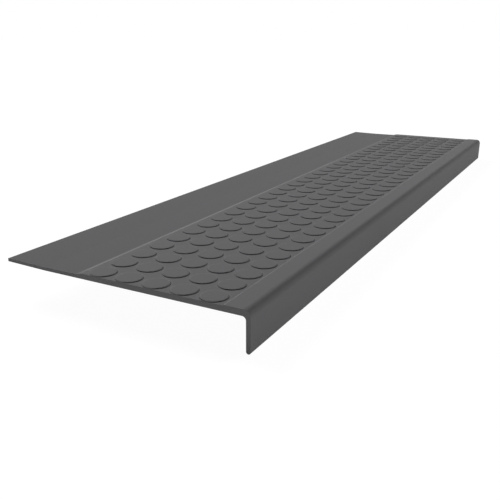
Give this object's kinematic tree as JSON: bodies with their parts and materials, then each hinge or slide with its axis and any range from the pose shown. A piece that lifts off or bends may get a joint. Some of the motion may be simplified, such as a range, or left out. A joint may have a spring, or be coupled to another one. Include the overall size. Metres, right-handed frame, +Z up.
{
  "type": "rubber stair tread",
  "caption": "Moulded rubber stair tread: a thin plate with a field of low round studs, a smooth back section and a square nose that hangs over the step edge.",
  "frame": {"origin": "centre of the bounding box in plan, at the level of the nose tip", "axes": "+X along the tread, -Y toward the nose and +Y toward the back edge, +Z up out of the walking surface"},
  "size_m": [1.134, 0.311, 0.0448],
  "materials": {
    "stair_tread": "matt charcoal grey, moulded"
  },
  "bodies": {
    "root": {"stair_tread": "stair_tread"}
  },
  "joints": []
}
